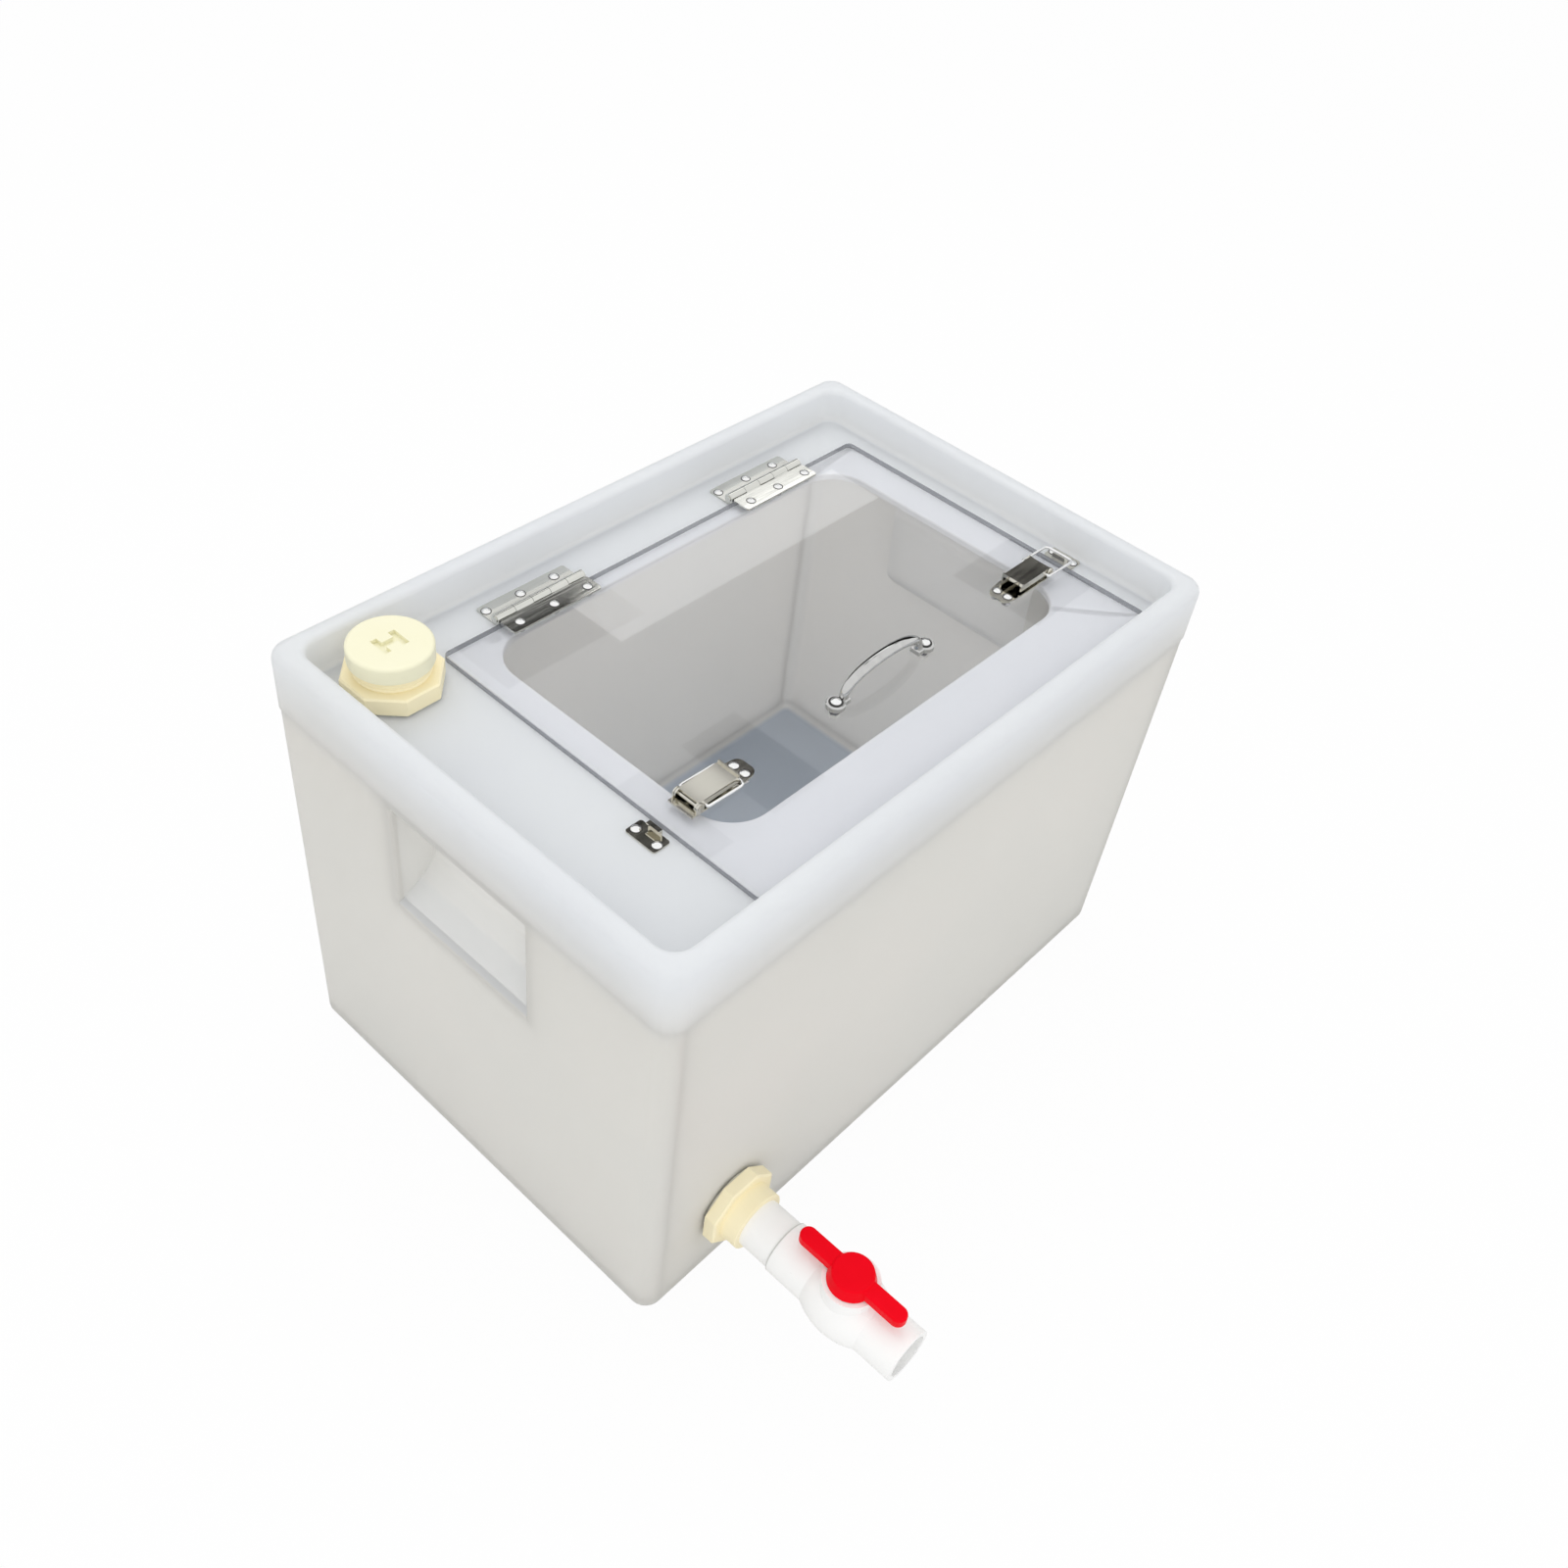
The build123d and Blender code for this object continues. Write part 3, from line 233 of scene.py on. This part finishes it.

# The pipe piece, the valve's body, its outlet, ball and stem are white PVC, moulded and bright.
# They are cemented together: a painted grey line of cement and shadow marks where the valve's
# socket ends on the pipe piece, and another where the outlet meets the body.
def pipe_white(name, seam):
    """White PVC with a painted grey seam of cement and shadow at one place along the pipe, given as its
    y in metres.
    """
    millimetre = 0.001
    pvc = Finish(name, IOR=1.54)
    tone = pvc.noise(30.0, 3.0)
    colour = pvc.blend(tone, (0.94, 0.94, 0.93), (0.96, 0.96, 0.95))
    # Painted shade: a grey line of cement and shadow, within a millimetre of the seam.
    away = (pvc.axis("Y") - seam).math("ABSOLUTE") * (1 / millimetre)
    line = away.ramp((0.25, 1.0), (1.0, 0.0))
    pvc.drive(Base_Color=pvc.blend(line * 0.7, colour, (0.40, 0.42, 0.38)),
              Roughness=0.22 + tone * 0.16)
    pvc.bump(pvc.noise(300.0), 0.15, 0.0003)
    return pvc


socket_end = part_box("valve_body")[1][1]
outlet_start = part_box("valve_outlet")[1][1]
pipe_white("pvc_body", socket_end).dress("drain_adapter", "valve_body", "valve_ball", "valve_stem")
pipe_white("pvc_outlet", outlet_start).dress("valve_outlet")

# The ball's seats are two rings of waxy white seal plastic. They are turned from bar and
# pressed into the valve's body, one each side of the ball.
waxy = Finish("seat_plastic")
streak = waxy.noise(90.0)
waxy.drive(Base_Color=waxy.blend(streak, (0.82, 0.82, 0.80), (0.88, 0.88, 0.87)),
           Roughness=0.45 + streak * 0.1)
waxy.dress("ball_seat_inlet", "ball_seat_outlet")

# The butterfly handle is moulded in bright red ABS and pushed onto the stem's square, over the
# boss of the valve's body. Its low gloss level is fitted to the photograph.
red = Finish("red_abs", IOR=1.4, Specular_IOR_Level=0.07)
swirl = red.noise(45.0, 3.0)
red.drive(Base_Color=red.blend(swirl, (0.84, 0.0008, 0.008), (0.93, 0.0015, 0.014)),
          Roughness=0.3 + swirl * 0.16)
red.bump(red.noise(500.0), 0.2, 0.0003)
red.dress("valve_handle")

# The lid is a flat sheet of clear plastic. Its edges are sawn and lightly chamfered and painted
# dark grey, a painted shade; its polished faces mirror more the flatter they are looked along.
clear = Finish("clear_sheet", IOR=1.49)
turned = clear.node("ShaderNodeNewGeometry", output="Normal")
back = clear.node("ShaderNodeNewGeometry", output="Backfacing")
dark_painted_edge = (1 - clear.axis("Z", turned).math("ABSOLUTE")).ramp((0.25, 0.0), (0.35, 1.0))
# Painted shade: the sawn edges are coloured dark grey, with less mirror than the faces.
clear.drive(Base_Color=clear.blend(dark_painted_edge, (0.97, 0.98, 0.99), (0.16, 0.17, 0.19)),
            Roughness=0.02 + dark_painted_edge * 0.3, Metallic=1 - dark_painted_edge)
through = clear.node("ShaderNodeBsdfTransparent", Color=(0.99, 0.988, 0.995, 1))
shine = clear.node("ShaderNodeFresnel", IOR=1.49) * (1 - back)
clear.mixed(shine.math("MAXIMUM", dark_painted_edge * 0.75), through, clear.plain())
clear.dress("lid_sheet")

# The two hinges are stainless butt hinges. Their leaves are pressed from sheet, rolled round a
# pin and brushed along their length.
steel = Finish("hinge_stainless", Metallic=1.0)
brushed = steel.noise(300.0, 2.0, steel.stretched(0.06, 1.0, 1.0))
steel.drive(Base_Color=steel.blend(brushed, (0.62, 0.62, 0.58), (0.76, 0.76, 0.72)),
            Roughness=0.04 + brushed * 0.07)
steel.bump(brushed, 0.10, 0.0002)
for side in ("left", "right"):
    steel.dress("hinge_leaf_deck_" + side, "hinge_leaf_lid_" + side, "hinge_pin_" + side)

# Rivets and screws are bright headed metal. Each head stands in a dark line of painted shade,
# which a thin near-black ring round its seat gives.
bright = Finish("bright_heads", Metallic=1.0)
spot = bright.noise(500.0, 2.0)
bright.drive(Base_Color=bright.blend(spot, (0.86, 0.86, 0.86), (0.94, 0.94, 0.93)),
             Roughness=0.12 + spot * 0.12)
bright.dress("lid_hinge_rivets", "deck_hinge_rivets", "latch_rivets", "keeper_rivets",
             "bow_screws", "bow_nuts")

# Painted shade: the near-black of the rings round the heads' seats.
seat_shade = Finish("painted_seat_shade", Metallic=0.6)
speck = seat_shade.noise(900.0, 3.0)
seat_shade.drive(Base_Color=seat_shade.blend(speck, (0.03, 0.03, 0.03), (0.10, 0.095, 0.09)),
            Roughness=0.45 + speck * 0.3)


def heads(name):
    """The middle of each head of a node of fasteners, where the head is widest, and its radius.

    The solids are taken in the order of the mesh, so that each run gives the same points.
    """
    head_depth = 0.004      # only this much below the top of a fastener can be its head
    same_place = 1e-6
    on_the_edge = 1e-5
    shape = bmesh.new()
    shape.from_mesh(nodes[name].data)
    bmesh.ops.remove_doubles(shape, verts=shape.verts, dist=same_place)
    shape.verts.index_update()
    visited = set()
    places = []
    for first in shape.verts:
        if first.index in visited:
            continue
        visited.add(first.index)
        solid, waiting = [], [first]
        while waiting:
            vert = waiting.pop()
            solid.append(vert.co.copy())
            for end in (edge.other_vert(vert) for edge in vert.link_edges):
                if end.index not in visited:
                    visited.add(end.index)
                    waiting.append(end)
        xs, ys = [co.x for co in solid], [co.y for co in solid]
        centre = Vector(((min(xs) + max(xs)) / 2, (min(ys) + max(ys)) / 2))
        top = max(co.z for co in solid)
        radius = max((co.xy - centre).length for co in solid)
        seat = min(co.z for co in solid
                   if (co.xy - centre).length > radius - on_the_edge and co.z > top - head_depth)
        places.append((*centre, seat))
    shape.free()
    return places, radius


def seat_rings(name, body, fasteners, wire_radius=0.00035):
    """Thin near-black rings of painted shade round the seats of like-sized heads, as one piece on one
    body.
    """
    tree = bpy.data.node_groups.new(name, "GeometryNodeTree")
    places = []
    for fastener in fasteners:
        found, radius = heads(fastener)
        places.extend(found)
    sizes = {"Ring radius": radius, "Wire radius": wire_radius}
    tree.interface.new_socket("Points", in_out="INPUT", socket_type="NodeSocketGeometry")
    for label in sizes:
        tree.interface.new_socket(label, in_out="INPUT", socket_type="NodeSocketFloat")
    tree.interface.new_socket("Rings", in_out="OUTPUT", socket_type="NodeSocketGeometry")

    def add(kind, **inputs):
        """A node with its inputs linked from sockets or set to values."""
        made = tree.nodes.new(kind)
        for label, value in inputs.items():
            socket = made.inputs[label.replace("_", " ")]
            if isinstance(value, bpy.types.NodeSocket):
                tree.links.new(value, socket)
            else:
                socket.default_value = value
        return made.outputs[0] if made.outputs else None

    start = tree.nodes.new("NodeGroupInput").outputs
    ring = add("GeometryNodeCurvePrimitiveCircle", Resolution=32, Radius=start["Ring radius"])
    wire = add("GeometryNodeCurvePrimitiveCircle", Resolution=8, Radius=start["Wire radius"])
    tube = add("GeometryNodeCurveToMesh", Curve=ring, Profile_Curve=wire)
    points = add("GeometryNodeMeshToPoints", Mesh=start["Points"])
    rings = add("GeometryNodeInstanceOnPoints", Points=points, Instance=tube)
    rings = add("GeometryNodeRealizeInstances", Geometry=rings)
    rings = add("GeometryNodeSetMaterial", Geometry=rings, Material=seat_shade.material)
    add("NodeGroupOutput", Rings=rings)

    mesh = bpy.data.meshes.new(name)
    mesh.from_pydata(places, [], [])
    seed = bpy.data.objects.new(name + "_points", mesh)
    bpy.context.collection.objects.link(seed)
    modifier = seed.modifiers.new("rings", "NODES")
    modifier.node_group = tree
    for item in tree.interface.items_tree:
        if item.name in sizes:
            modifier[item.identifier] = sizes[item.name]
    evaluated = seed.evaluated_get(bpy.context.evaluated_depsgraph_get())
    rings_mesh = bpy.data.meshes.new_from_object(evaluated)
    bpy.data.objects.remove(seed)
    for face in rings_mesh.polygons:
        face.use_smooth = True
    piece = bpy.data.objects.new(name, rings_mesh)
    bpy.context.collection.objects.link(piece)
    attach(piece, body)


seat_rings("lid_rivet_seats", "lid", ["lid_hinge_rivets", "latch_rivets"])
seat_rings("deck_rivet_seats", "tank", ["deck_hinge_rivets", "keeper_rivets"])
seat_rings("bow_screw_seats", "lid", ["bow_screws"], wire_radius=0.0009)

# The bow handle is a zinc casting with bright chrome plate. Two round-headed screws go down
# through its feet and the lid into nuts below.
plate = Finish("chrome_plate", Metallic=1.0)
haze = plate.noise(160.0, 2.0)
plate.drive(Base_Color=plate.blend(haze, (0.50, 0.50, 0.49), (0.66, 0.66, 0.65)),
            Roughness=0.03 + haze * 0.04)
plate.dress("bow_handle")

# The draw latches and the keepers are pressed from stainless sheet and polished. Each bail is
# bent from bright wire and sprung into its lever's ears.
pressed = Finish("latch_stainless", Metallic=1.0)
rolled = pressed.noise(260.0, 2.0, pressed.stretched(0.1, 1.0, 1.0))
pressed.drive(Base_Color=pressed.blend(rolled, (0.60, 0.58, 0.52), (0.74, 0.72, 0.65)),
              Roughness=0.05 + rolled * 0.08)
bail = Finish("bail_wire", Metallic=1.0)
drawn = bail.noise(400.0)
bail.drive(Base_Color=bail.blend(drawn, (0.88, 0.88, 0.88), (0.94, 0.94, 0.94)),
           Roughness=0.10 + drawn * 0.1)
for side in ("left", "right"):
    pressed.dress("latch_base_" + side, "latch_lever_" + side, "lever_pin_" + side, "keeper_" + side)
    bail.dress("latch_bail_" + side)


# The studio is a white floor under an even sky, with a soft lamp overhead and one at the side.
# The floor and the sky are white to the camera, so only a very faint shadow shows. The lamps
# light the box but are not mirrored in it.
def sheet(name, corners, finish, unseen=()):
    """A flat stage piece from its corners, hidden from some kinds of ray."""
    mesh = bpy.data.meshes.new(name)
    mesh.from_pydata(corners, [], [tuple(range(len(corners)))])
    made = bpy.data.objects.new(name, mesh)
    bpy.context.collection.objects.link(made)
    mesh.materials.append(finish.material)
    for kind in unseen:
        setattr(made, "visible_" + kind, False)


paper = Finish("floor_paper", Roughness=0.9)
paper.shader.inputs["Base Color"].default_value = (0.84, 0.84, 0.84, 1)
seen = paper.node("ShaderNodeLightPath", output="Is Camera Ray")
white = paper.node("ShaderNodeEmission", Color=(1, 1, 1, 1), Strength=1.0)
white_share = 0.95
paper.mixed(seen * white_share, paper.plain(), white)
far = 30.0
sheet("floor", [(-far, -far, 0), (far, -far, 0), (far, far, 0), (-far, far, 0)], paper)

world = bpy.data.worlds.new("studio")
bpy.context.scene.world = world
world.use_nodes = True
sky = world.node_tree
path = sky.nodes.new("ShaderNodeLightPath")
level = sky.nodes.new("ShaderNodeMapRange")
sky_light = 0.90
level.inputs["To Min"].default_value = sky_light
pale = path.outputs["Is Camera Ray"]
for kind in ("Is Glossy Ray", "Is Transmission Ray"):
    either = sky.nodes.new("ShaderNodeMath")
    either.operation = "MAXIMUM"
    sky.links.new(pale, either.inputs[0])
    sky.links.new(path.outputs[kind], either.inputs[1])
    pale = either.outputs[0]
sky.links.new(pale, level.inputs["Value"])
sky.nodes["Background"].inputs["Color"].default_value = (1, 1, 1, 1)
sky.links.new(level.outputs["Result"], sky.nodes["Background"].inputs["Strength"])


def lamp(name, place, aim, size, power):
    """A square soft lamp that faces a point."""
    data = bpy.data.lights.new(name, "AREA")
    data.size = size
    data.energy = power
    made = bpy.data.objects.new(name, data)
    made.location = place
    made.visible_glossy = False
    made.rotation_euler = (Vector(aim) - Vector(place)).to_track_quat("-Z", "Y").to_euler()
    bpy.context.collection.objects.link(made)


middle = (0, 0, 0.2)
lamp("overhead", (0.3, 0.6, 2.2), middle, 1.6, 9)
lamp("side", (-1.6, -1.6, 1.4), middle, 1.4, 8.0)

# What the bright metal and the lid mirror: four dark cards and a pale strip above the box, and
# a dark board that stands behind it. Only reflections see them. They are fitted to the camera's
# place: the lid, as a mirror, shows each card to it over one piece. Other views mirror them elsewhere.
camera_place = Vector((-0.6555, -0.5199, 1.0236))
lid_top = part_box("lid_sheet")[1][2]
cards_above_lid = 1.0
reflections_only = ("camera", "diffuse", "shadow", "transmission")
dark = Finish("dark_card", Roughness=1.0)
mottle = dark.noise(3.0)
dark.drive(Base_Color=dark.blend(mottle, (0.004, 0.004, 0.004), (0.02, 0.018, 0.016)))
pale_strip = Finish("pale_strip")
strip_light = pale_strip.node("ShaderNodeEmission", Color=(1, 1, 1, 1), Strength=2.9)
pale_strip.mixed(1.0, pale_strip.plain(), strip_light)


def mirrored(x, y):
    """Where a ray from the camera that the lid mirrors at (x, y) meets the height of the cards."""
    reach = cards_above_lid / (camera_place.z - lid_top)
    return (x + (x - camera_place.x) * reach, y + (y - camera_place.y) * reach,
            lid_top + cards_above_lid)


def card(name, x_span, y_span, finish):
    """A card that covers one stretch of the lid's mirror image."""
    (x0, x1), (y0, y1) = x_span, y_span
    corners = [mirrored(x, y) for x, y in ((x0, y0), (x1, y0), (x1, y1), (x0, y1))]
    sheet(name, corners, finish, reflections_only)


keeper_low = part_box("keeper_left")[0]
base_low, base_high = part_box("latch_base_left")
lever_low, lever_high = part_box("latch_lever_right")
leaf_low, leaf_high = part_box("hinge_leaf_lid_left")
margin = 0.02       # this and the other margins were set against the photograph
beside = 0.03
hinge_margin = 0.04
base_depth = (base_low[1] - beside, base_high[1] + beside)
card("keeper_card", (keeper_low[0] - margin, base_low[0] + 0.006), base_depth, dark)
card("latch_tab_card", (base_high[0] - margin, base_high[0] + beside), base_depth, dark)
card("right_latch_card", (lever_low[0] - margin, lever_high[0] + margin),
     (lever_low[1] - beside, lever_high[1] + beside), dark)
card("hinge_card", (leaf_low[0] - hinge_margin, leaf_high[0] + 0.004),
     (leaf_low[1] - hinge_margin, leaf_high[1] - 0.006), dark)
band_length, band_depth = (-0.081, 0.196), (0.062, 0.112)
card("band_strip", band_length, band_depth, pale_strip)

behind, across = Vector((0.655, 0.725, 0)), Vector((0.725, -0.655, 0))
board_middle, board_half = behind * 2.6, across * 2.4
board_foot, board_top = Vector((0, 0, 0.15)), Vector((0, 0, 1.8))
sheet("back_board", [board_middle - board_half + board_foot, board_middle + board_half + board_foot,
                     board_middle + board_half + board_top, board_middle - board_half + board_top],
      dark, reflections_only)

# The camera stands where the photograph's did. Its place, turn and lens were worked out from the
# corners of the box in the photograph.
camera_azimuth = -53.385
camera_elevation = 44.107
camera_roll = 8.414
data = bpy.data.cameras.new("camera")
data.sensor_width = 36.0
data.lens = 35.11
camera = bpy.data.objects.new("camera", data)
bpy.context.collection.objects.link(camera)
camera.matrix_world = (Matrix.Translation(camera_place)
                       @ Matrix.Rotation(math.radians(camera_azimuth), 4, "Z")
                       @ Matrix.Rotation(math.radians(90 - camera_elevation), 4, "X")
                       @ Matrix.Rotation(math.radians(camera_roll), 4, "Z"))
bpy.context.scene.camera = camera
bpy.context.scene.view_settings.view_transform = "Standard"
